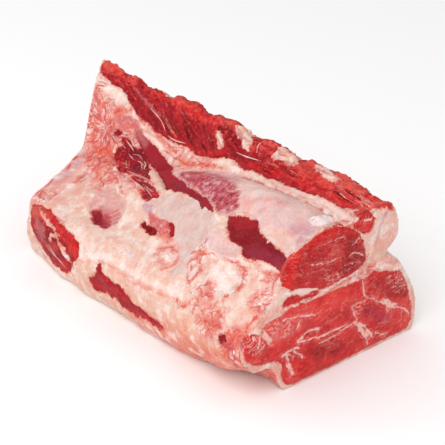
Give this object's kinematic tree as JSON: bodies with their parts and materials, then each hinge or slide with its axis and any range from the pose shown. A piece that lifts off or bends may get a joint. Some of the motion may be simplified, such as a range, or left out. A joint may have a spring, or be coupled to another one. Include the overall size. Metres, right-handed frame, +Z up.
{
  "type": "raw beef shortloin",
  "caption": "Raw bone-in beef shortloin, lying fat side down: lean cut face with fillet and loin at one end, torn flank edge above, fat-covered backbone side.",
  "frame": {"origin": "on the flat underside, below the middle of the piece's bounding box", "axes": "+X along the backbone to the hip end's cut face, +Y across to the flank, +Z up"},
  "size_m": [0.4352, 0.2266, 0.1745],
  "materials": {
    "raw_meat": null
  },
  "bodies": {
    "root": {"shortloin": "raw_meat"}
  },
  "joints": []
}
